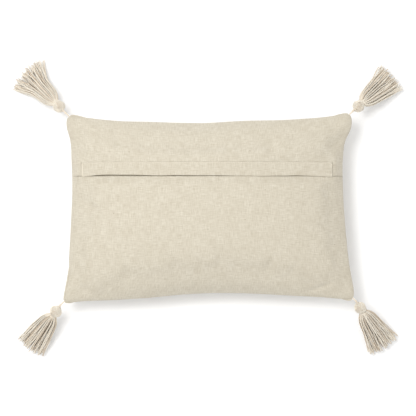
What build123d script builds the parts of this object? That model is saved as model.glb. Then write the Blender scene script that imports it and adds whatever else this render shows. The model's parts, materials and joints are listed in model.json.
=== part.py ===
from build123d import *
import math
import os

# A lumbar throw cushion lying on its front panel, closure side up, with a tassel at each corner.
# Millimetres, +X along the long side, +Y towards the zipped edge, +Z up, z = 0 under the cushion.

# Cover outline: the four pointed corners, and how far each side pulls in between them
CORNERS = {
    "top_left": (-288.0, 193.5),
    "top_right": (297.0, 197.0),
    "bottom_left": (-299.0, -198.0),
    "bottom_right": (304.0, -190.0),
}
BOW_LEFT, BOW_RIGHT = 20.0, 26.0
BOW_TOP, BOW_BOTTOM = 21.0, 21.0
BOW_POWER = 3.0

# Height: the seam all round, the crown above it, and the flattened front panel below it
SEAM_Z = 68.0
CROWN_HEIGHT = 82.0
SEAM_LEVEL = 0.03
FLAT_LEVEL = 0.80
TOP_LEVELS = (SEAM_LEVEL, 0.14, 0.34, 0.56, 0.76, 0.90, 0.975)
BOTTOM_LEVELS = (SEAM_LEVEL, 0.14, 0.34, 0.56, FLAT_LEVEL)
BELLY_DEPTH = SEAM_Z * (1 - SEAM_LEVEL) / (FLAT_LEVEL - SEAM_LEVEL)
STEPS_PER_HALF_SIDE = 3

# Cloth
CANVAS = 1.0
WALL_INSET = 1.2
ALLOWANCE_NEAR = 3.4
ALLOWANCE_FAR = 12.0
ALLOWANCE_THICK = 1.0
ALLOWANCE_LEVEL = 0.045
TICKING = 0.8
INSERT_INSET = 15.5
INSERT_GAP = 3.5
FILL_GAP = 0.4

# Zip: everything in it bends round one far axis under the cushion, along Y
ZIP_RADIUS = 765.0
ZIP_TOP_Z = 133.5
ZIP_AXIS_Z = ZIP_TOP_Z - ZIP_RADIUS
ZIP_Y = 77.0
PLACKET_LOW_Y = 64.0
PLACKET_HIGH_Y = 92.5
OPENING_HALF = 247.0
TAPE_THICK = 0.6
CHAIN_HALF = 232.0
CHAIN_GAP = 0.7
COIL_WIDTH = 2.2
COIL_HEIGHT = 1.7
TRENCH_DEPTH = 3.4
TRENCH_END = 3.0
TRENCH_LOW_Y = PLACKET_LOW_Y - 0.8
TRENCH_HIGH_Y = PLACKET_HIGH_Y - 1.2
FACING = 1.2
DENT_MARGIN = 3.0
CUT_ABOVE = 60.0
STOP_LENGTH = 2.5
STOP_RISE = 0.3

# Slider and pull
SLIDER_LENGTH = 10.0
SLIDER_STANDOFF = 0.5
SLIDER_X = -CHAIN_HALF + STOP_LENGTH + SLIDER_STANDOFF + SLIDER_LENGTH / 2
SLIDER_HALF_WIDTH = 4.6
PLATE = 0.9
RUN_CLEARANCE = 0.35
NECK_LENGTH = 3.0
PULL_REACH = 20.0
PULL_TAB = 14.0
PULL_WIDTH = 6.0
PULL_THICK = 1.2
PULL_PIN_R = 0.6
PULL_ROUND = 1.5
BAIL_WIDTH = 2.0
BAIL_REACH = 2.6
BAIL_POST = 1.0
BAIL_INSIDE = 2.2
BAIL_BAR = 0.7

# Placket flap, two layers of canvas, and its stitching
FLAP_RISE = 7.0
FLAP_THICK = 1.8
FLAP_ROOT_Y = PLACKET_HIGH_Y - 1.4
STITCH_Y = FLAP_ROOT_Y - 1.6
THREAD = 0.6
BAR_TACK_WIDTH = 2.4
BAR_TACK_LOW_Y = PLACKET_LOW_Y + 0.5
BAR_TACK_HIGH_Y = PLACKET_HIGH_Y - 5.0

# Tassels
CORD_R = 1.8
BALL_CLEARANCE = 0.5
YAW_STANDOFF = 2.3
CORD_DROP = 45.0
TASSEL_DROP = 26.0
HEAD_R = 12.5
HEAD_STANDOFF = 2.4
NECK_R = 6.0
SKIRT_ROOT_R = 5.5
NECK_START = 10.8
NECK_LENGTH_ALONG = 4.6
STUB_LENGTH = 16.0
HOLE_INSIDE = 2.0
HOLE_OUTSIDE = 6.0
# name: (heading in plan, degrees; cord length; skirt width at its end; reach from head centre)
TASSELS = {
    "top_left": (136.0, 9.0, 82.0, 106.0),
    "top_right": (40.0, 4.0, 69.0, 105.0),
    "bottom_left": (233.0, 4.0, 66.0, 105.0),
    "bottom_right": (304.0, 4.0, 71.0, 106.0),
}
# stations along the skirt as a share of its reach, with width and thickness
SKIRT_SHOULDER = (0.27, 38.0, 30.0)
SKIRT_MIDDLE = (0.60, 54.0, 28.0)
SKIRT_END_THICK = 18.0

os.makedirs("parts", exist_ok=True)


def publish(piece, name):
    """Label a finished piece and write its STEP file."""
    piece.part.label = name
    export_step(piece.part, f"parts/{name}.step")


def plan_point(u, v, inset):
    """Plan position of the outline grid point (u, v), both from -1 to 1, moved in by an inset."""
    share = {
        "top_left": (1 - u) * (1 + v) / 4,
        "top_right": (1 + u) * (1 + v) / 4,
        "bottom_left": (1 - u) * (1 - v) / 4,
        "bottom_right": (1 + u) * (1 - v) / 4,
    }
    x = sum(share[name] * CORNERS[name][0] for name in CORNERS)
    y = sum(share[name] * CORNERS[name][1] for name in CORNERS)
    bow_x = BOW_LEFT + (BOW_RIGHT - BOW_LEFT) * (1 + u) / 2
    bow_y = BOW_BOTTOM + (BOW_TOP - BOW_BOTTOM) * (1 + v) / 2
    x -= u * (bow_x * (1 - abs(v) ** BOW_POWER) + inset)
    y -= v * (bow_y * (1 - abs(u) ** BOW_POWER) + inset)
    return x, y


def ring_directions():
    """Directions to the edge of a unit square, closer together towards its corners."""
    steps = STEPS_PER_HALF_SIDE
    along = [math.sin(math.radians(90.0 * i / steps)) for i in range(-steps, steps)]
    right = [(1.0, r) for r in along]
    top = [(-r, 1.0) for r in along]
    left = [(-1.0, -r) for r in along]
    bottom = [(r, -1.0) for r in along]
    return right + top + left + bottom


def contour(level, inset):
    """Plan points of the ring where (1 - u^2)(1 - v^2) equals level squared."""
    points = []
    for p, q in ring_directions():
        total = p * p + q * q
        product = p * p * q * q
        root = math.sqrt(total * total - 4 * product * (1 - level * level))
        scale = math.sqrt(2 * (1 - level * level) / (total + root))
        points.append(plan_point(p * scale, q * scale, inset))
    return points


def ring_sketch(z, level, inset):
    """A flat sketch of one contour ring at height z."""
    with BuildSketch(Plane.XY.offset(z)) as ring:
        with BuildLine():
            Spline(*contour(level, inset), periodic=True)
        make_face()
    return ring.sketch


def half_sections(levels, height, inset, gap):
    """Stacked rings of one half cushion; height is negative for the lower half."""
    side = math.copysign(1.0, height)
    sections = []
    for level in levels:
        rise = (level - SEAM_LEVEL) / (1 - SEAM_LEVEL)
        z = SEAM_Z + (height - side * gap) * rise
        sections.append(ring_sketch(z, level, inset))
    return sections


def top_sections(inset, gap):
    return half_sections(TOP_LEVELS, CROWN_HEIGHT, inset, gap)


def bottom_sections(inset, gap):
    return half_sections(BOTTOM_LEVELS, -BELLY_DEPTH, inset, gap)


def arc_angle(x):
    """Angle round the far zip axis of a point at x on the zip."""
    return math.degrees(math.asin(x / ZIP_RADIUS))


def zip_sector(y_low, y_high, r_low, r_high, x_low, x_high, mode=Mode.ADD):
    """A block bent round the far zip axis, radii counted from the zip surface."""
    start = arc_angle(x_low)
    sweep = arc_angle(x_high) - start
    axis = Axis((0, 0, ZIP_AXIS_Z), (0, 1, 0))
    side = Plane(origin=(0, 0, ZIP_AXIS_Z), x_dir=(0, 1, 0), z_dir=(1, 0, 0))
    with BuildSketch(side) as profile:
        with Locations(((y_low + y_high) / 2, ZIP_RADIUS + (r_low + r_high) / 2)):
            Rectangle(y_high - y_low, r_high - r_low)
    face = profile.sketch.face().rotate(axis, start)
    return revolve(face, axis=axis, revolution_arc=sweep, mode=mode)


def trench(depth, margin):
    """Clear the room the zip and the flap take, down to a depth under the zip surface."""
    half = OPENING_HALF + TRENCH_END + margin
    y_low = TRENCH_LOW_Y - margin
    y_high = TRENCH_HIGH_Y + margin
    zip_sector(y_low, y_high, -depth, CUT_ABOVE, -half, half, Mode.SUBTRACT)


def corner_frame(name):
    """Corner tip, outward bisector, tassel heading and the two joint centres of one tassel."""
    heading, cord, _, _ = TASSELS[name]
    sign_u = 1 if "right" in name else -1
    sign_v = 1 if "top" in name else -1
    reach = math.sqrt(1 - SEAM_LEVEL)
    tip_x, tip_y = plan_point(sign_u * reach, sign_v * reach, 0.0)
    tip = Vector(tip_x, tip_y, SEAM_Z)
    bisector = Vector(sign_u, sign_v, 0).normalized()
    plan = Vector(1, 0, 0).rotate(Axis.Z, heading)
    yaw = tip + bisector * YAW_STANDOFF
    drop = math.radians(CORD_DROP)
    pitch = yaw + plan * (cord * math.cos(drop)) - Vector(0, 0, cord * math.sin(drop))
    slope = math.radians(TASSEL_DROP)
    along = plan * math.cos(slope) - Vector(0, 0, math.sin(slope))
    return tip, bisector, plan, yaw, pitch, along


def corner_holes(mode=Mode.SUBTRACT):
    """Round ways out through the cover's corners for the sewn-in ends of the tassel cords."""
    for name in TASSELS:
        tip, bisector, _, _, _, _ = corner_frame(name)
        start = tip - bisector * (STUB_LENGTH + HOLE_INSIDE)
        with BuildSketch(Plane(origin=start, z_dir=bisector)) as circle:
            Circle(CORD_R + BALL_CLEARANCE)
        extrude(circle.sketch, amount=HOLE_INSIDE + STUB_LENGTH + HOLE_OUTSIDE, mode=mode)


def make_front_panel():
    with BuildPart() as panel:
        loft(sections=bottom_sections(0.0, 0.0))
        loft(sections=bottom_sections(WALL_INSET, CANVAS), mode=Mode.SUBTRACT)
        corner_holes()
    publish(panel, "front_panel")


def closure_shell():
    """The whole closure side of the cover, before it is divided at the placket."""
    with BuildPart() as shell:
        loft(sections=top_sections(0.0, 0.0))
        loft(sections=top_sections(WALL_INSET, CANVAS), mode=Mode.SUBTRACT)
        corner_holes()
        trench(TRENCH_DEPTH, 0.0)
    return shell.part


def facing(y_low, y_high, x_low, x_high):
    """A turned-down edge of canvas along the placket, trimmed to the crown."""
    with BuildPart() as edge:
        zip_sector(y_low, y_high, -TAPE_THICK, CUT_ABOVE, x_low, x_high)
        loft(sections=top_sections(0.0, 0.0), mode=Mode.INTERSECT)
    return edge.part


def make_back_panels():
    shell = closure_shell()
    half = OPENING_HALF + TRENCH_END
    low_facing = facing(TRENCH_LOW_Y - FACING, TRENCH_LOW_Y, -half, half)
    high_facing = facing(TRENCH_HIGH_Y, TRENCH_HIGH_Y + FACING, -half, half)
    closed_seam = Plane.XZ.offset(-TRENCH_LOW_Y)
    with BuildPart() as lower:
        add(split(shell, closed_seam, keep=Keep.TOP, mode=Mode.PRIVATE))
        add(low_facing)
    with BuildPart() as upper:
        add(split(shell, closed_seam, keep=Keep.BOTTOM, mode=Mode.PRIVATE))
        add(high_facing)
    publish(lower, "back_panel_lower")
    publish(upper, "back_panel_upper")


def make_seam_allowance():
    """The two raw edges of the panels inside the perimeter seam."""
    with BuildPart() as band:
        for inset, mode in ((ALLOWANCE_NEAR, Mode.ADD), (ALLOWANCE_FAR, Mode.SUBTRACT)):
            ring = ring_sketch(SEAM_Z, ALLOWANCE_LEVEL, inset)
            extrude(ring, amount=ALLOWANCE_THICK / 2, both=True, mode=mode)
        corner_holes()
    publish(band, "seam_allowance")


def make_insert():
    """The inner cushion: two ticking halves round a fibre filling, dented under the zip."""
    inner_inset = INSERT_INSET + TICKING
    inner_gap = INSERT_GAP + TICKING
    with BuildPart() as back:
        loft(sections=top_sections(INSERT_INSET, INSERT_GAP))
        trench(TRENCH_DEPTH, DENT_MARGIN)
        with BuildPart(mode=Mode.PRIVATE) as hollow:
            loft(sections=top_sections(inner_inset, inner_gap))
            trench(TRENCH_DEPTH + TICKING, DENT_MARGIN + TICKING)
        add(hollow.part, mode=Mode.SUBTRACT)
    publish(back, "insert_shell_back")
    with BuildPart() as front:
        loft(sections=bottom_sections(INSERT_INSET, INSERT_GAP))
        loft(sections=bottom_sections(inner_inset, inner_gap), mode=Mode.SUBTRACT)
    publish(front, "insert_shell_front")
    fill_inset = inner_inset + FILL_GAP
    fill_gap = inner_gap + FILL_GAP
    with BuildPart() as fill:
        loft(sections=top_sections(fill_inset, fill_gap))
        trench(TRENCH_DEPTH + TICKING + FILL_GAP, DENT_MARGIN + TICKING + FILL_GAP)
        loft(sections=bottom_sections(fill_inset, fill_gap))
    publish(fill, "fibre_filling")


def make_zip_chain():
    half = OPENING_HALF + TRENCH_END
    chain = CHAIN_HALF - STOP_LENGTH
    inner = CHAIN_GAP
    reach = CHAIN_GAP + COIL_WIDTH
    stop_height = COIL_HEIGHT + STOP_RISE
    for name, side in (("lower", -1), ("upper", 1)):
        edge = TRENCH_LOW_Y if side < 0 else TRENCH_HIGH_Y
        near = ZIP_Y + side * inner
        y_low, y_high = sorted((edge, near))
        with BuildPart() as tape:
            zip_sector(y_low, y_high, -TAPE_THICK, 0.0, -half, half)
        publish(tape, f"zip_tape_{name}")
        y_low, y_high = sorted((near, near + side * COIL_WIDTH))
        with BuildPart() as coil:
            zip_sector(y_low, y_high, 0.0, COIL_HEIGHT, -chain, chain)
        publish(coil, f"zip_coil_{name}")
    with BuildPart() as top_stops:
        for side in (-1, 1):
            y_low, y_high = sorted((ZIP_Y + side * inner, ZIP_Y + side * reach))
            zip_sector(y_low, y_high, 0.0, stop_height, -CHAIN_HALF, -chain)
    publish(top_stops, "zip_top_stops")
    with BuildPart() as bottom_stop:
        zip_sector(ZIP_Y - reach, ZIP_Y + reach, 0.0, stop_height, chain, CHAIN_HALF)
    publish(bottom_stop, "zip_bottom_stop")


def slider_levels():
    """Radii of the slider's plates, counted from the zip surface."""
    under = -TAPE_THICK - RUN_CLEARANCE
    over = COIL_HEIGHT + STOP_RISE + RUN_CLEARANCE
    return under - PLATE, under, over, over + PLATE


def make_slider():
    bottom, under, over, top = slider_levels()
    x_low = SLIDER_X - SLIDER_LENGTH / 2
    x_high = SLIDER_X + SLIDER_LENGTH / 2
    wide = SLIDER_HALF_WIDTH
    neck = CHAIN_GAP - RUN_CLEARANCE
    flange_inner = CHAIN_GAP + COIL_WIDTH + RUN_CLEARANCE
    with BuildPart() as slider:
        zip_sector(ZIP_Y - wide, ZIP_Y + wide, bottom, under, x_low, x_high)
        zip_sector(ZIP_Y - wide, ZIP_Y + wide, over, top, x_low, x_high)
        zip_sector(ZIP_Y - neck, ZIP_Y + neck, under, over, x_low, x_low + NECK_LENGTH)
        for side in (-1, 1):
            y_low, y_high = sorted((ZIP_Y + side * flange_inner, ZIP_Y + side * wide))
            zip_sector(y_low, y_high, RUN_CLEARANCE, over, x_low, x_high)
        bail_low = ZIP_Y - BAIL_WIDTH / 2
        bail_high = ZIP_Y + BAIL_WIDTH / 2
        bar = top + BAIL_INSIDE
        bail_start = SLIDER_X - BAIL_REACH
        bail_end = SLIDER_X + BAIL_REACH
        for x in (bail_start, bail_end - BAIL_POST):
            zip_sector(bail_low, bail_high, top, bar, x, x + BAIL_POST)
        zip_sector(bail_low, bail_high, bar, bar + BAIL_BAR, bail_start, bail_end)
    publish(slider, "zip_slider")


def pull_pivot():
    """Centre of the pull's bar inside the bail, and the local directions along and out of the zip."""
    _, _, _, top = slider_levels()
    angle = math.radians(arc_angle(SLIDER_X))
    out = Vector(math.sin(angle), 0, math.cos(angle))
    along = Vector(math.cos(angle), 0, -math.sin(angle))
    centre = Vector(0, ZIP_Y, ZIP_AXIS_Z) + out * (ZIP_RADIUS + top + BAIL_INSIDE / 2)
    return centre, along, out


def make_pull():
    centre, along, out = pull_pivot()
    face = Plane(origin=centre, x_dir=along, z_dir=out)
    arm = (PULL_WIDTH - BAIL_WIDTH) / 2 - RUN_CLEARANCE
    arm_length = PULL_REACH - PULL_TAB + PULL_ROUND + PULL_PIN_R
    pin_plane = Plane(origin=centre - Vector(0, PULL_WIDTH / 2, 0), z_dir=(0, 1, 0))
    with BuildPart() as pull:
        with BuildSketch(face.offset(-PULL_PIN_R)) as tab:
            with Locations((PULL_REACH - PULL_TAB / 2, 0)):
                RectangleRounded(PULL_TAB, PULL_WIDTH, PULL_ROUND)
            for side in (-1, 1):
                with Locations((arm_length / 2 - PULL_PIN_R, side * (PULL_WIDTH - arm) / 2)):
                    Rectangle(arm_length, arm)
        extrude(tab.sketch, amount=PULL_THICK)
        with BuildSketch(pin_plane) as pin:
            Circle(PULL_PIN_R)
        extrude(pin.sketch, amount=PULL_WIDTH)
    publish(pull, "zip_pull")


def make_flap():
    top = FLAP_RISE + FLAP_THICK
    half = OPENING_HALF
    with BuildPart() as flap:
        zip_sector(PLACKET_LOW_Y, FLAP_ROOT_Y, FLAP_RISE, top, -half, half)
    publish(flap, "placket_flap")
    with BuildPart() as stitching:
        y_low = STITCH_Y - THREAD / 2
        y_high = STITCH_Y + THREAD / 2
        zip_sector(y_low, y_high, top, top + THREAD / 2, -half, half)
    publish(stitching, "flap_topstitch")
    for name, side in (("left", -1), ("right", 1)):
        x_low, x_high = sorted((side * (half - BAR_TACK_WIDTH), side * half))
        with BuildPart() as tack:
            zip_sector(BAR_TACK_LOW_Y, BAR_TACK_HIGH_Y, top, top + THREAD, x_low, x_high)
        publish(tack, f"bar_tack_{name}")


def make_tassel(name):
    _, cord, end_width, reach = TASSELS[name]
    tip, bisector, plan, yaw, pitch, along = corner_frame(name)
    across = Vector(0, 0, 1).cross(plan)

    with BuildPart() as stub:
        with BuildSketch(Plane(origin=tip - bisector * STUB_LENGTH, z_dir=bisector)) as circle:
            Circle(CORD_R)
        extrude(circle.sketch, amount=STUB_LENGTH)
    publish(stub, f"cord_anchor_{name}")

    with BuildPart() as link:
        with BuildSketch(Plane(origin=yaw, z_dir=pitch - yaw)) as circle:
            Circle(CORD_R)
        extrude(circle.sketch, amount=cord)
        for centre in (yaw, pitch):
            with Locations(Location(centre)):
                Sphere(CORD_R)
    publish(link, f"tassel_cord_{name}")

    centre = pitch + along * (HEAD_R + HEAD_STANDOFF)
    with BuildPart() as head:
        with Locations(Location(centre)):
            Sphere(HEAD_R)
    publish(head, f"tassel_head_{name}")

    neck_plane = Plane(origin=centre + along * NECK_START, x_dir=across, z_dir=along)
    with BuildPart() as neck:
        with BuildSketch(neck_plane) as circle:
            Circle(NECK_R)
        extrude(circle.sketch, amount=NECK_LENGTH_ALONG)
        with Locations(Location(centre)):
            Sphere(HEAD_R, mode=Mode.SUBTRACT)
    publish(neck, f"tassel_neck_{name}")

    start = NECK_START + NECK_LENGTH_ALONG
    stations = [(start, 2 * SKIRT_ROOT_R, 2 * SKIRT_ROOT_R)]
    for share, width, thick in (SKIRT_SHOULDER, SKIRT_MIDDLE, (1.0, end_width, SKIRT_END_THICK)):
        stations.append((reach * share, width, thick))
    sections = []
    for distance, width, thick in stations:
        with BuildSketch(Plane(origin=centre + along * distance, x_dir=across, z_dir=along)) as oval:
            Ellipse(width / 2, thick / 2)
        sections.append(oval.sketch)
    with BuildPart() as skirt:
        loft(sections=sections)
    publish(skirt, f"tassel_skirt_{name}")


make_front_panel()
make_back_panels()
make_seam_allowance()
make_insert()
make_zip_chain()
make_slider()
make_pull()
make_flap()
for tassel_name in TASSELS:
    make_tassel(tassel_name)
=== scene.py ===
import json
import math

import bmesh
import bpy
import numpy as np
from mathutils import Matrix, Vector, noise
from mathutils.bvhtree import BVHTree


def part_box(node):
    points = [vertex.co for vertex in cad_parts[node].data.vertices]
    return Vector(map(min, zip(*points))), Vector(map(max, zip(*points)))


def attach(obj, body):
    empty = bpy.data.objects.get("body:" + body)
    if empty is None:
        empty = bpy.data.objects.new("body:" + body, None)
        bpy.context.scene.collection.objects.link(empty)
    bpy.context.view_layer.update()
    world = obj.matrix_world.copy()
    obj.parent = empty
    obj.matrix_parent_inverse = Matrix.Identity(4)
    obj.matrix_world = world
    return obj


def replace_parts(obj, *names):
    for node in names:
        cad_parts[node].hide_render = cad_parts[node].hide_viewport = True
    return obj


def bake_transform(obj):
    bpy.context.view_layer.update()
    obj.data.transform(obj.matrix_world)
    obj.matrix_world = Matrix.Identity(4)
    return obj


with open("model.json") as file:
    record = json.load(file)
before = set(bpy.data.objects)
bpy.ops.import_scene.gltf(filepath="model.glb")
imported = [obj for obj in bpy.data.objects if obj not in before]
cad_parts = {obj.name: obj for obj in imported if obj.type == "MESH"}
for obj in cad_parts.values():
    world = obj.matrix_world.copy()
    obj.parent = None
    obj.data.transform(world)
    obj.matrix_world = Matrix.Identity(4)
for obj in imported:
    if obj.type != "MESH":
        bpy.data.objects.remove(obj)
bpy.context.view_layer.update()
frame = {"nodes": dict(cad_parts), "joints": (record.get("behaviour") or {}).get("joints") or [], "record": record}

CORNER_NAMES = ("top_left", "top_right", "bottom_left", "bottom_right")
JOINTS = {joint["name"]: joint for joint in frame["joints"]}

# ---- places taken from the frame

SEAM_Z = JOINTS["cord_swing_top_left"]["pos_m"][2]
TOP_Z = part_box("back_panel_lower")[1][2]


def middle(node):
    """Centre of a CAD node's box."""
    low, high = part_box(node)
    return (np.array(low) + np.array(high)) / 2


# ---- cover outline, metres

CORNERS = {
    "top_left": (-0.2880, 0.1935),
    "top_right": (0.2970, 0.1970),
    "bottom_left": (-0.2990, -0.1980),
    "bottom_right": (0.3040, -0.1900),
}
# how far each side pulls in, in millimetres, at shares of the way along it
BOW_TOP = ((0, 0), (0.06, 9), (0.17, 18), (0.30, 21), (0.48, 24), (0.60, 20.5), (0.80, 17.5), (0.92, 11),
           (1, 0))
BOW_BOTTOM = ((0, 0), (0.07, 8), (0.18, 11), (0.30, 14.5), (0.42, 20.5), (0.52, 22.5), (0.62, 21), (0.78, 15),
              (0.91, 9), (1, 0))
BOW_LEFT = ((0, 0), (0.08, 13), (0.12, 17.5), (0.25, 18.5), (0.45, 20.5), (0.60, 21), (0.75, 18),
            (0.86, 13.5), (0.92, 5.5), (1, 0))
BOW_RIGHT = ((0, 0), (0.10, 9.5), (0.18, 15), (0.32, 20.5), (0.45, 24), (0.60, 26), (0.75, 25), (0.84, 19.5),
             (0.90, 8), (1, 0))
# how far a corner's point is drawn in, as a share of the way to the middle, and how close to it that starts
EAR_ROUND, EAR_POWER = 0.034, 13.0
# how square the crown is, and how deep the belly would hang if there were no table
CROWN_POWER = 2.2
BELLY_DEPTH = 0.085
GRID_X, GRID_Y = 116, 78
ARC_SAMPLES = 2001
MM_IN_METRE = 1000


def smooth_table(table, t):
    """Read a short table of (share, value) pairs along a smooth curve."""
    shares, values = np.array(table, float).T
    slopes = np.gradient(values, shares)
    t = np.clip(t, 0.0, 1.0)
    k = np.clip(np.searchsorted(shares, t, side="right") - 1, 0, len(shares) - 2)
    span = shares[k + 1] - shares[k]
    w = (t - shares[k]) / span
    h00 = 2 * w**3 - 3 * w**2 + 1
    h10 = w**3 - 2 * w**2 + w
    h01 = -2 * w**3 + 3 * w**2
    h11 = w**3 - w**2
    return h00 * values[k] + h10 * span * slopes[k] + h01 * values[k + 1] + h11 * span * slopes[k + 1]


def plan_point(u, v):
    """Plan position of cloth point (u, v), both from -1 to 1, inside the bowed outline."""
    pull = 1 - EAR_ROUND * (np.abs(u) * np.abs(v)) ** EAR_POWER
    u, v = u * pull, v * pull
    s, t = (1 + u) / 2, (1 + v) / 2
    tl, tr = np.array(CORNERS["top_left"]), np.array(CORNERS["top_right"])
    bl, br = np.array(CORNERS["bottom_left"]), np.array(CORNERS["bottom_right"])
    x = (1 - s) * (1 - t) * bl[0] + s * (1 - t) * br[0] + (1 - s) * t * tl[0] + s * t * tr[0]
    y = (1 - s) * (1 - t) * bl[1] + s * (1 - t) * br[1] + (1 - s) * t * tl[1] + s * t * tr[1]
    x += ((1 - s) * smooth_table(BOW_LEFT, t) - s * smooth_table(BOW_RIGHT, t)) / MM_IN_METRE
    y += ((1 - t) * smooth_table(BOW_BOTTOM, s) - t * smooth_table(BOW_TOP, s)) / MM_IN_METRE
    return x, y


def fullness(u, v):
    """Share of the crown's height over cloth point (u, v): 1 in the middle, 0 at the seam."""
    return np.sqrt(np.clip((1 - np.abs(u) ** CROWN_POWER) * (1 - np.abs(v) ** CROWN_POWER), 0, 1))


def arc_share(flat, half, height):
    """Where a cloth point lies across a crown, so that the cloth keeps its length over the curve."""
    s = np.linspace(0, 1, ARC_SAMPLES)
    z = height * np.sqrt(1 - s**CROWN_POWER)
    length = np.concatenate(([0], np.cumsum(np.hypot(np.diff(s) * half, np.diff(z)))))
    return np.sign(flat) * np.interp(np.abs(flat), length / length[-1], s)


# ---- material nodes


def feed(tree, node, inputs):
    """Give some of a node's inputs fixed values or other nodes' outputs."""
    for name, value in inputs.items():
        if isinstance(value, (int, float, tuple)):
            node.inputs[name].default_value = value
        else:
            tree.links.new(value, node.inputs[name])


def add_node(tree, kind, **inputs):
    """A new node of a kind, fed by name."""
    node = tree.nodes.new("ShaderNode" + kind)
    feed(tree, node, inputs)
    return node


def new_material(name):
    """A new material, its node tree and its shader."""
    material = bpy.data.materials.new(name)
    material.use_nodes = True
    tree = material.node_tree
    return material, tree, tree.nodes["Principled BSDF"]


def math_node(tree, operation, *values):
    """The result of an arithmetic operation."""
    node = add_node(tree, "Math")
    node.operation = operation
    feed(tree, node, dict(enumerate(values)))
    return node.outputs[0]


def mix_colour(tree, factor, a, b):
    """Colour a where the factor is 0, colour b where it is 1."""
    node = add_node(tree, "Mix")
    node.data_type = "RGBA"
    feed(tree, node, {0: factor, 6: a, 7: b})
    return node.outputs[2]


def ramp(tree, source, stops):
    """A grey ramp read at the source, from (place, value) stops."""
    node = add_node(tree, "ValToRGB", Fac=source)
    for element, (place, value) in zip(node.color_ramp.elements, stops):
        element.position = place
        element.color = (value, value, value, 1)
    return node.outputs[0]


def scaled(tree, vector, scale):
    """A vector multiplied axis by axis."""
    return add_node(tree, "Mapping", Scale=scale, Vector=vector).outputs[0]


def noise_node(tree, vector, scale, detail, rough=0.5):
    """Cloudy noise over a vector."""
    node = add_node(tree, "TexNoise", Scale=scale, Detail=detail, Roughness=rough, Vector=vector)
    return node.outputs["Fac"]


def add_bump(tree, shader, height, strength, distance):
    """Make the surface look raised by a height."""
    bump = add_node(tree, "Bump", Strength=strength, Distance=distance, Height=height)
    feed(tree, shader, {"Normal": bump.outputs[0]})


def add_nap(tree, shader, weight, roughness):
    """The faint sheen of cotton fibres that stand off a matt surface."""
    nap = {"Sheen Weight": weight, "Sheen Roughness": roughness, "Specular IOR Level": MATT_SPECULAR}
    feed(tree, shader, nap)


# ---- materials

MATT_SPECULAR = 0.2
# threads: they waver over this scale by this much, in metres
WAVER_SCALE, WAVER = 55.0, 0.006
# slubs, the thick places in a thread: how often they come along it and across it
SLUB_LONG, SLUB_CROSS = 64.0, 760.0
CLOUD_SCALE = 30.0
WEAVE_BUMP, WEAVE_DEPTH, SLUB_SHARE = 0.55, 0.00035, 1.6
# seed flecks: how many cells a metre, how large in a cell, in what share of the cells, how dark
FLECK_CELLS, FLECK_SIZE, FLECK_RARE, FLECK_STRENGTH = 95.0, 0.11, 0.9935, 0.62
FLECK_ASPECT = 1.6
FLECK_COLOUR = (0.16, 0.10, 0.05, 1)
FIBRE_SCALE, FIBRE_BUMP, FIBRE_DEPTH = 1500.0, 0.5, 0.0003
GRAIN_BUMP, GRAIN_DEPTH = 0.2, 0.0001
CANVAS_PERIOD, TICKING_PERIOD = 0.0011, 0.0006


def weave_height(tree, cloth, period):
    """Over and under of a plain weave whose threads waver a little."""
    split = add_node(tree, "SeparateXYZ", Vector=cloth)
    shift = math_node(tree, "MULTIPLY", noise_node(tree, cloth, WAVER_SCALE, 3.0), WAVER)
    waves = []
    for axis in (0, 1):
        thread = math_node(tree, "ADD", split.outputs[axis], shift)
        waves.append(math_node(tree, "SINE", math_node(tree, "MULTIPLY", thread, math.pi / period)))
    return math_node(tree, "ABSOLUTE", math_node(tree, "MULTIPLY", *waves))


def fleck_mask(tree, cloth):
    """1 in a few small spots of the cloth, 0 elsewhere."""
    spread = scaled(tree, cloth, (1.0, FLECK_ASPECT, 1.0))
    cells = add_node(tree, "TexVoronoi", Scale=FLECK_CELLS, Randomness=1.0, Vector=spread)
    near = math_node(tree, "LESS_THAN", cells.outputs["Distance"], FLECK_SIZE)
    pick = add_node(tree, "SeparateColor", Color=cells.outputs["Color"])
    rare = math_node(tree, "GREATER_THAN", pick.outputs[0], FLECK_RARE)
    return math_node(tree, "MULTIPLY", near, rare)


def canvas_material(name, base, dark, period, on_flat=True):
    """Plain-weave cotton with slubs, rare flecks, a soft nap and painted shade between its threads, laid out on
    the flat cloth.
    """
    material, tree, shader = new_material(name)
    if on_flat:
        flat = add_node(tree, "Attribute")
        flat.attribute_name = "flat"
        cloth = flat.outputs["Vector"]
    else:
        cloth = add_node(tree, "TexCoord").outputs["Object"]
    weave = weave_height(tree, cloth, period)
    weft_slub = noise_node(tree, scaled(tree, cloth, (SLUB_LONG, SLUB_CROSS, 1.0)), 1.0, 3.0, 0.6)
    warp_slub = noise_node(tree, scaled(tree, cloth, (SLUB_CROSS, SLUB_LONG, 1.0)), 1.0, 3.0, 0.6)
    slub = math_node(tree, "ADD", weft_slub, warp_slub)
    cloudy = noise_node(tree, cloth, CLOUD_SCALE, 5.0, 0.65)
    tone = ramp(tree, math_node(tree, "MULTIPLY", slub, 0.5), ((0.38, 0.0), (0.60, 1.0)))
    colour = mix_colour(tree, tone, dark, base)
    colour = mix_colour(tree, ramp(tree, cloudy, ((0.40, 0.0), (0.65, 0.30))), colour, dark)
    # painted shade: darker where the weave is low, in the hollows between the threads
    colour = mix_colour(tree, ramp(tree, weave, ((0.0, 0.42), (0.35, 0.0))), colour, dark)
    fleck = math_node(tree, "MULTIPLY", fleck_mask(tree, cloth), FLECK_STRENGTH)
    colour = mix_colour(tree, fleck, colour, FLECK_COLOUR)
    height = math_node(tree, "ADD", weave, math_node(tree, "MULTIPLY", slub, SLUB_SHARE))
    add_bump(tree, shader, height, WEAVE_BUMP, WEAVE_DEPTH)
    add_nap(tree, shader, 0.12, 0.5)
    rough = ramp(tree, slub, ((0.6, 0.96), (1.4, 0.86)))
    feed(tree, shader, {"Base Color": colour, "Roughness": rough})
    return material


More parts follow.
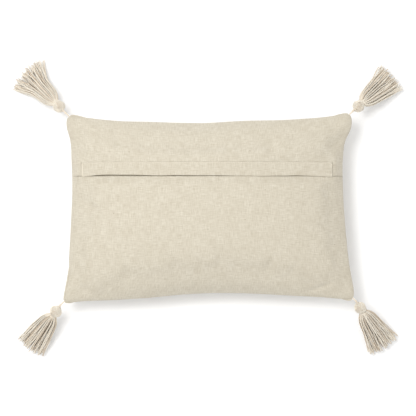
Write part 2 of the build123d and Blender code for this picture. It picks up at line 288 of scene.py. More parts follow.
def yarn_material(name, base, dark):
    """Soft spun cotton yarn: fine fibres, with painted shade between the plies and deep inside a bundle."""
    material, tree, shader = new_material(name)
    shading = add_node(tree, "Attribute")
    shading.attribute_name = "yarn"
    tone, _, crest = add_node(tree, "SeparateXYZ", Vector=shading.outputs["Vector"]).outputs
    coords = add_node(tree, "TexCoord")
    fibre = noise_node(tree, coords.outputs["Object"], FIBRE_SCALE, 3.0, 0.7)
    colour = mix_colour(tree, ramp(tree, fibre, ((0.3, 0.80), (0.6, 1.0))), dark, base)
    # darker where the tone is low: painted shade deep inside a skirt's bundle, mixed with tone that differs from
    # yarn to yarn
    colour = mix_colour(tree, ramp(tree, tone, ((0.0, 0.70), (0.40, 0.0))), colour, dark)
    # painted shade in the grooves between the plies, where the crest is low
    colour = mix_colour(tree, ramp(tree, crest, ((0.22, 0.75), (0.55, 0.0))), colour, dark)
    add_bump(tree, shader, fibre, FIBRE_BUMP, FIBRE_DEPTH)
    add_nap(tree, shader, 0.7, 0.4)
    feed(tree, shader, {"Base Color": colour, "Roughness": 0.9})
    return material


def plain_material(name, base, dark, roughness, scale):
    """A small hard part or thread: slight mottling in colour and surface."""
    material, tree, shader = new_material(name)
    coords = add_node(tree, "TexCoord")
    grain = noise_node(tree, coords.outputs["Object"], scale, 3.0, 0.6)
    add_bump(tree, shader, grain, GRAIN_BUMP, GRAIN_DEPTH)
    feed(tree, shader, {"Base Color": mix_colour(tree, grain, dark, base), "Roughness": roughness})
    return material


# the dark colour gives the slubs' and clouds' darker tone, and also the painted shade between the weave's threads
CANVAS_LIGHT, CANVAS_DARK = (0.652, 0.608, 0.510, 1), (0.480, 0.430, 0.335, 1)
CANVAS = canvas_material("canvas", CANVAS_LIGHT, CANVAS_DARK, CANVAS_PERIOD)
RAW_CANVAS = canvas_material("raw_canvas", CANVAS_LIGHT, CANVAS_DARK, CANVAS_PERIOD, on_flat=False)
# the dark colour gives the fibres' mottle, and the painted shade between the plies and deep inside a bundle
YARN = yarn_material("yarn", (0.985, 0.955, 0.850, 1), (0.560, 0.420, 0.280, 1))
THREAD = plain_material("thread", (0.80, 0.75, 0.64, 1), (0.62, 0.56, 0.45, 1), 0.8, 2500.0)
# the ticking's darker colour also paints shade between its threads
TICKING = canvas_material("ticking", (0.86, 0.86, 0.85, 1), (0.76, 0.76, 0.75, 1), TICKING_PERIOD)
FIBRE = plain_material("fibre", (0.90, 0.90, 0.89, 1), (0.74, 0.74, 0.73, 1), 0.95, 180.0)
ZIP_TAPE = plain_material("zip_tape", (0.74, 0.68, 0.56, 1), (0.55, 0.49, 0.38, 1), 0.85, 1800.0)
ZIP_COIL = plain_material("zip_coil", (0.76, 0.70, 0.58, 1), (0.66, 0.60, 0.48, 1), 0.45, 900.0)
ZIP_METAL = plain_material("zip_metal", (0.66, 0.60, 0.49, 1), (0.56, 0.50, 0.40, 1), 0.35, 600.0)
SLOT_LOOKS = {
    "canvas": RAW_CANVAS,
    "thread": THREAD,
    "zip_tape": ZIP_TAPE,
    "zip_coil": ZIP_COIL,
    "zip_metal": ZIP_METAL,
    "ticking": TICKING,
    "fibre": FIBRE,
    "yarn": YARN,
}


# ---- meshes

TINY = 1e-12


def mesh_of(name, points, faces):
    """A mesh from points in metres and faces of point numbers."""
    mesh = bpy.data.meshes.new(name)
    mesh.from_pydata([tuple(p) for p in points], [], [tuple(f) for f in faces])
    return mesh


def shown(name, data):
    """An object in the scene that holds a mesh, a light or a camera."""
    thing = bpy.data.objects.new(name, data)
    bpy.context.scene.collection.objects.link(thing)
    return thing


def dress(mesh, material):
    """Shade a mesh smooth, in one material."""
    mesh.polygons.foreach_set("use_smooth", [True] * len(mesh.polygons))
    mesh.materials.clear()
    mesh.materials.append(material)


def new_piece(name, points, faces, material, body):
    """A finished piece that rides on a body."""
    mesh = mesh_of(name, points, faces)
    mesh.validate()
    dress(mesh, material)
    piece = shown(name, mesh)
    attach(piece, body)
    return piece


def store_vectors(mesh, name, values):
    """Keep one vector for each vertex under a name that materials can read."""
    attribute = mesh.attributes.new(name, "FLOAT_VECTOR", "POINT")
    attribute.data.foreach_set("vector", np.asarray(values, np.float32).ravel())


def thicken(piece, thickness):
    """Give a sheet its thickness, inwards."""
    layer = piece.modifiers.new("thickness", "SOLIDIFY")
    layer.thickness = thickness
    layer.offset = -1


def quads(index):
    """Faces between neighbouring points of an index grid."""
    return np.stack([index[:-1, :-1], index[1:, :-1], index[1:, 1:], index[:-1, 1:]], -1).reshape(-1, 4)


def unit(vectors):
    """The same directions with length one, along the last axis."""
    vectors = np.asarray(vectors, float)
    return vectors / np.maximum(np.linalg.norm(vectors, axis=-1, keepdims=True), TINY)


def smoothstep(low, high, value):
    """From 0 at the low value to 1 at the high one, level at both."""
    t = np.clip((value - low) / (high - low), 0, 1)
    return t * t * (3 - 2 * t)


def cut(bm, faces, point, normal):
    """Cut some faces of a mesh along a plane; gives every face that lies on either side after it."""
    geometry = set(faces)
    for face in faces:
        geometry.update(face.edges)
        geometry.update(face.verts)
    done = bmesh.ops.bisect_plane(bm, geom=list(geometry), plane_co=point, plane_no=normal)
    return [g for g in done["geom"] if isinstance(g, bmesh.types.BMFace)]


# ---- zip surface and placket

ZIP_AXIS_Z = JOINTS["zip_slide"]["pos_m"][2]
ZIP_Y = JOINTS["zip_slide"]["pos_m"][1]
TAPE_LOW, TAPE_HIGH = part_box("zip_tape_lower"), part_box("zip_tape_upper")
ZIP_RADIUS = TAPE_LOW[1][2] - ZIP_AXIS_Z
FLAP_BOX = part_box("placket_flap")
FLAP_TOP = FLAP_BOX[1][2] - ZIP_AXIS_Z - ZIP_RADIUS
FLAP_THICK = 0.0018
FLAP_HALF = math.asin(FLAP_BOX[1][0] / (ZIP_RADIUS + FLAP_TOP)) * ZIP_RADIUS
FLAP_END_MARGIN = 0.0008
FLAP_END = FLAP_BOX[1][0] + FLAP_END_MARGIN
TRENCH_Y = (TAPE_LOW[0][1], TAPE_HIGH[1][1])
TRENCH_HALF = 0.2470
LOWER_EDGE_RISE = 0.0069
UPPER_EDGE_RISE = FLAP_TOP - 0.0002
CONFORM_REACH, CONFORM_UPPER_REACH = 0.020, 0.032
CLOSED_SEAM_DEPTH = 0.0011
ON_LINE = 1e-5


def zip_point(x, y, rise):
    """A place given along the zip, across it and out of its curved surface."""
    angle = np.asarray(x) / ZIP_RADIUS
    radius = ZIP_RADIUS + rise
    return np.stack(np.broadcast_arrays(radius * np.sin(angle), y, ZIP_AXIS_Z + radius * np.cos(angle)), -1)


def zip_height(x, rise):
    """Height of the zip's curved surface, plus a rise, over a place in plan."""
    return ZIP_AXIS_Z + np.sqrt((ZIP_RADIUS + rise) ** 2 - np.asarray(x) ** 2)


def arc_place(x, rise):
    """Arc length along the zip surface of a place known by its x and its rise."""
    return math.asin(x / (ZIP_RADIUS + rise)) * ZIP_RADIUS


def conform(points, upper_rise, lower_rise):
    """Draw the closure side down to the placket, to a height over the zip surface above it and below it."""
    x, y, z = points.T
    wanted = zip_height(x, np.where(y > ZIP_Y, upper_rise, lower_rise))
    off_x = np.maximum(np.abs(x) - FLAP_HALF, 0)
    off_y = np.maximum(np.maximum(TRENCH_Y[0] - y, y - TRENCH_Y[1]), 0)
    reach_y = np.where(y > ZIP_Y, CONFORM_UPPER_REACH, CONFORM_REACH)
    share = 1 - smoothstep(0.0, 1.0, np.hypot(off_x / CONFORM_REACH, off_y / reach_y))
    points[:, 2] = np.where(z > SEAM_Z + 0.004, z + (wanted - z) * share, z)
    return points


# ---- cover

FLAT_HALF = np.array([0.305, 0.203])
CANVAS_THICK = 0.0009
BACK, FRONT = 0, 1
CLOTH_FRAMES = 24
# a filled cotton cover: pressed out from inside, a little too large, held at its seam
CLOTH_SETTINGS = {
    "quality": 6,
    "mass": 0.25,
    "tension_stiffness": 25,
    "compression_stiffness": 25,
    "shear_stiffness": 8,
    "bending_stiffness": 0.6,
    "air_damping": 4,
    "shrink_min": -0.035,
    "use_pressure": True,
    "uniform_pressure_force": 5.0,
    "vertex_group_mass": "seam",
    "pin_stiffness": 50,
}
RUFFLE, RUFFLE_SCALE = 0.0015, 45
# how far the rested cloth may leave its start: along the surface, out of it, and near the seam
SWELL_LIMIT = 0.0030
CREASE_LIMIT = 0.0042
SEAM_HOLD = 0.022
CUT_REACH = 0.02
# folds in the closure side: from x, y to x, y, with width and depth; a negative depth is a ridge
CREASES = (
    (0.193, -0.171, 0.262, -0.145, 0.0042, 0.0034),
    (0.205, -0.160, 0.262, -0.138, 0.0065, -0.0014),
    (-0.036, -0.172, -0.016, -0.146, 0.0055, 0.0020),
    (0.012, -0.177, 0.013, -0.152, 0.0042, 0.0026),
    (0.034, -0.177, 0.036, -0.156, 0.0038, 0.0022),
    (0.052, -0.176, 0.058, -0.154, 0.0045, 0.0020),
    (-0.215, -0.188, -0.200, -0.152, 0.0085, 0.0024),
    (-0.266, -0.182, -0.232, -0.150, 0.0090, 0.0022),
    (-0.262, 0.176, -0.226, 0.140, 0.0090, 0.0026),
    (-0.190, 0.176, -0.178, 0.146, 0.0080, 0.0018),
    (0.279, 0.156, 0.230, 0.100, 0.0110, 0.0040),
    (0.268, 0.178, 0.240, 0.146, 0.0070, 0.0024),
    (0.190, 0.176, 0.176, 0.146, 0.0080, 0.0016),
    (0.288, -0.176, 0.256, -0.138, 0.0090, 0.0022),
    (0.034, 0.060, 0.034, 0.049, 0.0024, 0.0009),
    (-0.264, 0.020, -0.240, 0.010, 0.0090, 0.0016),
    (0.264, 0.000, 0.240, -0.014, 0.0095, 0.0020),
)
CREASE_ENDS = (0.12, 0.88)


def cover_grid(inset=0.0, gap=0.0):
    """Cloth points of both panels, moved in by an inset and a gap: start and flat places, faces and seam."""
    flat_u = np.linspace(-1, 1, GRID_X + 1)
    flat_v = np.linspace(-1, 1, GRID_Y + 1)
    fu, fv = np.meshgrid(flat_u, flat_v, indexing="ij")
    crown = TOP_Z - SEAM_Z - gap
    u = arc_share(fu, FLAT_HALF[0], crown)
    v = arc_share(fv, FLAT_HALF[1], crown)
    x, y = plan_point(u, v)
    x, y = x - u * inset, y - v * inset
    full = fullness(u, v)
    top = np.stack([x, y, SEAM_Z + crown * full], -1)
    belly = SEAM_Z - (BELLY_DEPTH - gap) * full
    bottom = np.stack([x, y, np.maximum(belly, gap)], -1)
    flat = np.stack([fu * FLAT_HALF[0], fv * FLAT_HALF[1], np.zeros_like(fu)], -1)
    index = np.arange(fu.size).reshape(fu.shape)
    inner = np.zeros_like(index, bool)
    inner[1:-1, 1:-1] = True
    low_index = index.copy()
    low_index[inner] = fu.size + np.arange(inner.sum())
    points = np.concatenate([top.reshape(-1, 3), bottom[inner]])
    flats = np.concatenate([flat.reshape(-1, 3), flat[inner]])
    seam = np.nonzero(~inner.ravel())[0]
    return points, flats, quads(index), quads(low_index)[:, ::-1], seam


def cloth_rest(start, faces, pinned):
    """Where the sewn panels come to rest when the filling presses out against the cloth."""
    ruffled = [(x, y, z + RUFFLE * noise.noise(Vector((x, y, z)) * RUFFLE_SCALE)) for x, y, z in start]
    panels = shown("panels", mesh_of("panels", ruffled, faces))
    seam = panels.vertex_groups.new(name="seam")
    seam.add([int(i) for i in pinned], 1.0, "REPLACE")
    cloth = panels.modifiers.new("cloth", "CLOTH")
    for setting, value in CLOTH_SETTINGS.items():
        setattr(cloth.settings, setting, value)
    cloth.settings.effector_weights.gravity = 0
    cloth.collision_settings.use_collision = False
    scene = bpy.context.scene
    scene.frame_start, scene.frame_end = 1, CLOTH_FRAMES
    cloth.point_cache.frame_start, cloth.point_cache.frame_end = 1, CLOTH_FRAMES
    for step in range(1, CLOTH_FRAMES + 1):
        scene.frame_set(step)
    settled = panels.evaluated_get(bpy.context.evaluated_depsgraph_get())
    rested = np.empty(len(start) * 3, np.float32)
    settled.data.vertices.foreach_get("co", rested)
    bpy.data.objects.remove(panels)
    scene.frame_set(1)
    return rested.reshape(-1, 3).astype(float)


def limited(values, limit):
    """The same values, levelled off smoothly at plus or minus a limit."""
    return limit * np.tanh(values / limit)


def vertex_normals(points, faces):
    """The surface's direction at every point."""
    mesh = mesh_of("normals", points, faces)
    normals = np.array([tuple(v.normal) for v in mesh.vertices])
    bpy.data.meshes.remove(mesh)
    return normals


def settle(start, rested, normals, hold):
    """Keep the creases of the pressed-out cloth, without letting the cushion grow or its seam pull in."""
    move = rested - start
    out = np.sum(move * normals, axis=1)
    inside = move - normals * out[:, None]
    out = limited(out - np.median(out), CREASE_LIMIT)
    inside *= np.minimum(1, SWELL_LIMIT / np.maximum(np.linalg.norm(inside, axis=1), TINY))[:, None]
    rested = start + (normals * out[:, None] + inside) * hold[:, None]
    rested[:, 2] = np.maximum(rested[:, 2], 0.0)
    return rested


def subdivided(points, faces, flats):
    """One round of smooth subdivision that keeps the flat places and which side each face is on."""
    mesh = mesh_of("coarse", points, faces)
    store_vectors(mesh, "flat", flats)
    side = mesh.attributes.new("side", "INT", "FACE")
    half = len(faces) // 2
    side.data.foreach_set("value", [BACK] * half + [FRONT] * (len(faces) - half))
    holder = shown("coarse", mesh)
    holder.modifiers.new("smooth", "SUBSURF").levels = 1
    smooth = holder.evaluated_get(bpy.context.evaluated_depsgraph_get())
    fine = bpy.data.meshes.new_from_object(smooth)
    bpy.data.objects.remove(holder)
    return fine


def press_creases(mesh):
    """Press the lasting folds and dimples into the closure side: each runs between two places in plan."""
    co = np.empty(len(mesh.vertices) * 3, np.float32)
    mesh.vertices.foreach_get("co", co)
    co = co.reshape(-1, 3).astype(float)
    for x1, y1, x2, y2, width, depth in CREASES:
        start, way = np.array([x1, y1]), np.array([x2 - x1, y2 - y1])
        along = np.clip(((co[:, :2] - start) @ way) / (way @ way), 0, 1)
        off = np.linalg.norm(co[:, :2] - start - along[:, None] * way, axis=1)
        fade = np.sin(math.pi * np.clip(along, *CREASE_ENDS))
        press = depth * np.exp(-((off / width) ** 2)) * fade
        co[:, 2] -= np.where(co[:, 2] > SEAM_Z + 0.002, press, 0.0)
    mesh.vertices.foreach_set("co", co.astype(np.float32).ravel())


def in_trench(place):
    """Whether a place in plan is inside the opening."""
    return TRENCH_Y[0] < place.y < TRENCH_Y[1] and abs(place.x) < TRENCH_HALF


def shape_opening_ends(bm):
    """Sink the closed seam beyond the flap's ends, and lay the cover flat under the ends themselves."""
    for vert in bm.verts:
        x, y, z = abs(vert.co.x), vert.co.y, vert.co.z
        if x > FLAP_END and z > SEAM_Z + 0.006 and abs(y - TRENCH_Y[0]) < ON_LINE:
            vert.co.z -= CLOSED_SEAM_DEPTH
        under_flap = TRENCH_Y[0] - ON_LINE < y < TRENCH_Y[1] - FLAP_END_MARGIN
        if TRENCH_HALF - ON_LINE < x < FLAP_END and z > SEAM_Z and under_flap:
            vert.co.z = float(zip_height(x, LOWER_EDGE_RISE))


def open_placket(mesh):
    """Cut the opening for the zip into the closure side and turn its edges down to the tape."""
    bm = bmesh.new()
    bm.from_mesh(mesh)
    side = bm.faces.layers.int["side"]
    zone = []
    for face in bm.faces:
        y = face.calc_center_median().y
        if face[side] == BACK and TRENCH_Y[0] - CUT_REACH < y < TRENCH_Y[1] + CUT_REACH:
            zone.append(face)
    for y in TRENCH_Y:
        zone = cut(bm, zone, (0, y, 0), (0, 1, 0))
    for x in (TRENCH_HALF, FLAP_END - FLAP_END_MARGIN / 2):
        for sign in (-1, 1):
            zone = cut(bm, zone, (sign * x, 0, 0), (1, 0, 0))
    gone = [face for face in zone if in_trench(face.calc_center_median())]
    shape_opening_ends(bm)
    bmesh.ops.delete(bm, geom=gone, context="FACES")
    rim = [edge for edge in bm.edges if len(edge.link_faces) == 1]
    made = bmesh.ops.extrude_edge_only(bm, edges=rim)
    for item in made["geom"]:
        if isinstance(item, bmesh.types.BMVert):
            item.co.z = float(zip_height(item.co.x, 0.0))
    bmesh.ops.recalc_face_normals(bm, faces=bm.faces)
    bm.to_mesh(mesh)
    bm.free()


def cover_panel(name, mesh, keep, node):
    """One panel of the cover as its own piece, with the thickness of the canvas inside it."""
    own = mesh.copy()
    bm = bmesh.new()
    bm.from_mesh(own)
    side = bm.faces.layers.int["side"]
    gone = [face for face in bm.faces if not keep(face[side], face.calc_center_median())]
    bmesh.ops.delete(bm, geom=gone, context="FACES")
    bm.to_mesh(own)
    bm.free()
    dress(own, CANVAS)
    panel = shown(name, own)
    thicken(panel, CANVAS_THICK)
    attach(panel, "cushion")
    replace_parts(panel, node)


def surface_of(mesh):
    """What finds the height of the cover under a place in plan."""
    bm = bmesh.new()
    bm.from_mesh(mesh)
    tree = BVHTree.FromBMesh(bm)
    bm.free()
    return tree


def build_cover():
    """The three panels of the cover; gives the surface that the stitches lie on."""
    points, flats, faces_top, faces_bottom, seam = cover_grid()
    faces = np.concatenate([faces_top, faces_bottom])
    hold = smoothstep(0.0, SEAM_HOLD, np.abs(points[:, 2] - SEAM_Z))
    points = settle(points, cloth_rest(points, faces, seam), vertex_normals(points, faces), hold)
    points = conform(points, UPPER_EDGE_RISE, LOWER_EDGE_RISE)
    mesh = subdivided(points, faces, flats)
    press_creases(mesh)
    open_placket(mesh)
    split = TRENCH_Y[0] + ON_LINE
    cover_panel("front_cover", mesh, lambda side, c: side == FRONT, "front_panel")
    cover_panel("back_cover_lower", mesh, lambda side, c: side == BACK and c.y < split, "back_panel_lower")
    cover_panel("back_cover_upper", mesh, lambda side, c: side == BACK and c.y >= split, "back_panel_upper")
    return surface_of(mesh)


# ---- insert

ZIP_SINK = 0.0006
INSERT_INSET, INSERT_GAP = 0.0155, 0.0050
TICKING_THICK = 0.0006
FILLING_GAP = 0.001


def soft_layer(name, gap, material, node, halves, thickness):
    """One inner layer of the cushion, sunk under the zip; halves says which sides it has."""
    points, flats, faces_top, faces_bottom, _ = cover_grid(INSERT_INSET + gap, INSERT_GAP + gap)
    sunk = -ZIP_SINK - INSERT_GAP - gap
    points = conform(points, sunk, sunk)
    both = np.concatenate([faces_top, faces_bottom])
    faces = {"back": faces_top, "front": faces_bottom, "both": both}[halves]
    used = np.unique(faces)
    renumber = np.zeros(len(points), int)
    renumber[used] = np.arange(len(used))
    piece = new_piece(name, points[used], renumber[faces], material, "cushion")
    store_vectors(piece.data, "flat", flats[used])
    if thickness:
        thicken(piece, thickness)
    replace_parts(piece, node)


def build_insert():
    """The filled insert: two halves of ticking round the fibre."""
    for half in ("back", "front"):
        soft_layer("insert_" + half, 0.0, TICKING, "insert_shell_" + half, half, TICKING_THICK)
    soft_layer("filling", FILLING_GAP, FIBRE, "fibre_filling", "both", 0.0)


# ---- flap

# the flap's lower edge: share of the way along it, and y in millimetres
FLAP_EDGE = ((0.0, 61.4), (0.045, 64.1), (0.30, 64.4), (0.55, 64.0), (0.70, 63.3), (0.95, 63.1), (1.0, 61.6))
FLAP_ROOT_Y = TRENCH_Y[1] + 0.0004
FLAP_HINGE_Y = JOINTS["flap_lift"]["pos_m"][1]
FLAP_DEPTH = FLAP_HINGE_Y - FLAP_BOX[0][1]
FLAP_TACK_X = FLAP_HALF - 0.0024
FLAP_OPEN_SPAN = 0.125
FLAP_COLUMNS, FLAP_ROWS, FLAP_FOLD_STEPS = 330, 12, 7
# the unevenness of its edge, the waves in it and its swell over the zip
FLAP_RIPPLE, FLAP_RIPPLE_SCALE = 0.0006, 26
FLAP_WAVE, FLAP_WAVE_SCALE = 0.0004, 17
FLAP_BULGE = 0.0003
# the flap's left end stands up a little: how high, where and over what width
FLAP_CURL, FLAP_CURL_X, FLAP_CURL_WIDTH = 0.0006, -0.200, 0.028
FLAP_CLOTH_SHIFT = 0.3


def flap_profile():
    """The flap's section: share of its width, rise over the zip surface, and how far its fold stands out."""
    half = FLAP_THICK / 2
    shares = [k / (FLAP_ROWS - 1) for k in range(FLAP_ROWS)]
    profile = [(share, FLAP_TOP, 0.0) for share in shares]
    for k in range(1, FLAP_FOLD_STEPS):
        a = math.pi * k / FLAP_FOLD_STEPS
        profile.append((1.0, FLAP_TOP - half + half * math.cos(a), half * math.sin(a)))
    profile += [(1 - share, FLAP_TOP - FLAP_THICK, 0.0) for share in shares]
    return profile


def uneven(x, scale, row):
    """Smooth chance values along a line, about -1 to 1."""
    return np.array([noise.noise(Vector((v * scale, row, 0))) for v in x])


def flap_mesh():
    """Two layers of canvas round a soft fold, sewn along their root and bar-tacked at both ends."""
    x = np.linspace(-FLAP_HALF, FLAP_HALF, FLAP_COLUMNS)
    edge = smooth_table(FLAP_EDGE, (x + FLAP_HALF) / (2 * FLAP_HALF)) / MM_IN_METRE
    edge = edge + FLAP_RIPPLE * uneven(x, FLAP_RIPPLE_SCALE, 3.1)
    lift = FLAP_WAVE * uneven(x, FLAP_WAVE_SCALE, 7.7)
    lift = lift + FLAP_CURL * np.exp(-(((x - FLAP_CURL_X) / FLAP_CURL_WIDTH) ** 2))
    points, flat = [], []
    for across, rise, out in flap_profile():
        y = FLAP_ROOT_Y + (edge + FLAP_THICK / 2 - FLAP_ROOT_Y) * across - out
        bulge = np.sin(math.pi * across) * FLAP_BULGE
        points.append(zip_point(x, y, rise + lift * across + bulge))
        flat.append(np.stack([x, y + FLAP_CLOTH_SHIFT, np.zeros_like(x)], -1))
    points, flat = np.array(points), np.array(flat)
    count = len(points)
    index = np.arange(count * FLAP_COLUMNS).reshape(count, FLAP_COLUMNS)
    index = np.concatenate([index, index[:1]], axis=0)
    faces = [tuple(f) for f in quads(index)]
    for column in (0, FLAP_COLUMNS - 1):
        for k in range(count // 2):
            loop = tuple(index[row, column] for row in (k, k + 1, count - 2 - k, count - 1 - k))
            if len(set(loop)) == 4:
                faces.append(loop if column else loop[::-1])
    return points.reshape(-1, 3), faces, flat.reshape(-1, 3)


def flap_owner(place):
    """Which part of the flap a place belongs to: -1 left end, 0 middle, 1 right end."""
    owner = 0
    from_root = (FLAP_HINGE_Y - place.y) / FLAP_DEPTH
    for side in (-1, 1):
        from_tack = (FLAP_TACK_X - side * place.x) / FLAP_OPEN_SPAN
        if from_root > from_tack:
            owner = side
    return owner


def flap_part(name, end, points, faces, flat):
    """One part of the flap, cut along the slanting lines between its middle and its tacked ends."""
    mesh = mesh_of(name, points, faces)
    store_vectors(mesh, "flat", flat)
    bm = bmesh.new()
    bm.from_mesh(mesh)
    for side in (-1, 1):
        normal = Vector((side * FLAP_DEPTH / FLAP_OPEN_SPAN, -1, 0)).normalized()
        cut(bm, list(bm.faces), (side * FLAP_TACK_X, FLAP_HINGE_Y, 0), normal)
    gone = [face for face in bm.faces if flap_owner(face.calc_center_median()) != end]
    bmesh.ops.delete(bm, geom=gone, context="FACES")
    bmesh.ops.recalc_face_normals(bm, faces=bm.faces)
    bm.to_mesh(mesh)
    bm.free()
    dress(mesh, CANVAS)
    return shown(name, mesh)


def build_flap():
    """The flap in three parts: the middle, and the two ends between it and their bar tacks."""
    points, faces, flat = flap_mesh()
    for name, end in (("middle", 0), ("left", -1), ("right", 1)):
        piece = flap_part("flap_" + name, end, points, faces, flat)
        if end == 0:
            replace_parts(piece, "placket_flap")
        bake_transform(piece)


# ---- yarn

YARN_R = 0.00116
YARN_TURN = 0.0070
YARN_LOBE = 0.44
# how much of its thickness a cut end keeps, and how many turns its tone adds to a yarn's twist
YARN_TIP, TONE_TURNS = 0.55, 7.3
STEEP = 0.9


def side_directions(along):
    """A direction square to each step of each path, carried along it without twisting."""
    steep = np.abs(along[:, :1, 2:3]) < STEEP
    guess = np.where(steep, np.array([0.0, 0.0, 1.0]), np.array([1.0, 0.0, 0.0]))[:, 0]
    side = np.empty_like(along)
    for k in range(along.shape[1]):
        guess = unit(guess - along[:, k] * np.sum(guess * along[:, k], -1, keepdims=True))
        side[:, k] = guess
    return side


def tube_faces(index, closed):
    """Faces of tubes from their point numbers (tube, ring, side), with end caps on open ones."""
    after = np.roll(index, -1, 2)
    if closed:
        corners = [index, after, np.roll(after, -1, 1), np.roll(index, -1, 1)]
    else:
        corners = [index[:, :-1], after[:, :-1], after[:, 1:], index[:, 1:]]
    faces = [tuple(f) for f in np.stack(corners, -1).reshape(-1, 4)]
    if not closed:
        faces += [tuple(f) for f in index[:, -1]]
        faces += [tuple(f[::-1]) for f in index[:, 0]]
    return faces


def yarn_tubes(paths, radius, turn, sides, tones, closed=False, ends=1.0, lobe=YARN_LOBE):
    """Twisted two-ply yarns along centrelines (strands, rings, 3): points, faces and the values that paint shade
    between their plies.
    """
    count, rings, _ = paths.shape
    if closed:
        along = unit(np.roll(paths, -1, 1) - np.roll(paths, 1, 1))
    else:
        along = unit(np.gradient(paths, axis=1))
    side = side_directions(along)
    other = np.cross(along, side)
    steps = np.linalg.norm(np.diff(paths, axis=1), axis=-1)
    travel = np.concatenate([np.zeros((count, 1)), np.cumsum(steps, axis=1)], axis=1)
    spin = 2 * math.pi * travel / turn
    if closed:
        length = travel[:, -1] + np.linalg.norm(paths[:, 0] - paths[:, -1], axis=-1)
        spin = 2 * math.pi * travel * (np.round(length / turn) / length)[:, None]
    phi = 2 * math.pi * np.arange(sides) / sides
    crest = (1 + np.cos(2 * phi)) / 2
    angle = (spin + 2 * math.pi * tones[:, None] * TONE_TURNS)[:, :, None] + phi
    size = radius * (1 - lobe * (1 - crest)) * np.ones((count, rings, 1))
    if not closed:
        size[:, -1] *= YARN_TIP * ends
        size[:, -2] *= ends
    ring = np.cos(angle)[..., None] * side[:, :, None] + np.sin(angle)[..., None] * other[:, :, None]
    points = paths[:, :, None] + ring * size[..., None]
    # values for painted shade: each yarn's tone, how far along it is, and the plies' crest, low in the grooves
    # between them
    shade = np.empty((count, rings, sides, 3))
    shade[..., 0] = tones[:, None, None]
    shade[..., 1] = travel[:, :, None]
    shade[..., 2] = crest
    faces = tube_faces(np.arange(count * rings * sides).reshape(count, rings, sides), closed)
    return points.reshape(-1, 3), faces, shade.reshape(-1, 3)


def yarn_piece(name, paths, body, radius=YARN_R, turn=YARN_TURN, sides=8, tones=None, closed=False, ends=1.0):
    """One mesh piece made of yarns that all ride on one body."""
    paths = np.asarray(paths, float)
    if tones is None:
        tones = np.linspace(0.2, 0.8, len(paths))
    points, faces, shade = yarn_tubes(paths, radius, turn, sides, np.asarray(tones), closed, ends)
    piece = new_piece(name, points, faces, YARN, body)
    store_vectors(piece.data, "yarn", shade)
    return piece


def tube_piece(name, paths, radius, material, body, sides=8):
    """One piece made of plain round tubes along centrelines of equal length."""
    paths = np.asarray(paths, float)
    points, faces, _ = yarn_tubes(paths, radius, 1.0, sides, np.zeros(len(paths)), lobe=0.0)
    return new_piece(name, points, faces, material, body)


# ---- stitching

THREAD_R = 0.00028
STITCH_LENGTH, STITCH_PITCH = 0.0027, 0.0033
STITCH_ARCH, STITCH_SINK = 0.00042, 0.00022
STITCH_STEPS = 7
SEAM_END_LEFT, SEAM_END_RIGHT = -0.2755, 0.2795
ROW_GAP = 0.001
TACK_TURNS, TACK_INSET, TACK_WIDTH, TACK_RISE = 44, 0.0014, 0.0018, 0.0001
TACK_THREAD_R = 1.1 * THREAD_R


def cover_height(surface, x, y):
    """Height of the closure side over a place in plan, or none outside it."""
    hit = surface.ray_cast(Vector((x, y, 1.0)), Vector((0, 0, -1)))
    return hit[0].z if hit[0] else None


def stitch_row(name, x_low, x_high, surface=None):
    """A row of stitches, each pulled a little into the cloth at its ends: on the flap, or on the cover."""
    y = FLAP_HINGE_Y
    arch = np.sin(np.linspace(0, math.pi, STITCH_STEPS)) * STITCH_ARCH - STITCH_SINK
    paths = []
    for k in range(int((x_high - x_low) / STITCH_PITCH)):
        start = x_low + k * STITCH_PITCH
        x = np.linspace(start, start + STITCH_LENGTH, STITCH_STEPS)
        if surface is None:
            paths.append(zip_point(x, y, FLAP_TOP + arch))
            continue
        heights = [cover_height(surface, v, y) for v in x]
        if None not in heights:
            paths.append(np.stack([x, np.full_like(x, y), np.array(heights) + arch], -1))
    return tube_piece(name, paths, THREAD_R, THREAD, "cushion")


def bar_tack(side, sign):
    """A dense zigzag of thread that holds one end of the flap down."""
    node = "bar_tack_" + side
    low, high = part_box(node)
    step = np.arange(TACK_TURNS * 4 + 1)
    y = np.linspace(low[1], high[1], len(step))
    zigzag = np.abs((step / 2.0) % 2 - 1) - 0.5
    x = sign * (FLAP_HALF - TACK_INSET) + zigzag * TACK_WIDTH
    line = zip_point(x, y, FLAP_TOP + TACK_RISE)
    piece = tube_piece("tack_thread_" + side, [line], TACK_THREAD_R, THREAD, "cushion")
    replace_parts(piece, node)


def build_stitching(surface):
    """The row along the flap's root, its run-outs to the side seams, and the two bar tacks."""
    flap_row = stitch_row("placket_stitches", -FLAP_HALF + ROW_GAP, FLAP_HALF - ROW_GAP)
    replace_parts(flap_row, "flap_topstitch")
    stitch_row("seam_stitches_left", SEAM_END_LEFT, -FLAP_HALF - ROW_GAP, surface)
    stitch_row("seam_stitches_right", FLAP_HALF + ROW_GAP, SEAM_END_RIGHT, surface)
    bar_tack("left", -1)
    bar_tack("right", 1)


# ---- zip

COIL_PITCH = 0.0015
COIL_WIRE = 0.00028
COIL_OUT, COIL_SWING_Y = 0.00168, 0.00122
COIL_MID, COIL_SWING_RISE = 0.00097, 0.00064
COIL_CROWN = 0.0017
COIL_STEPS = 10
BEVEL = 0.00022
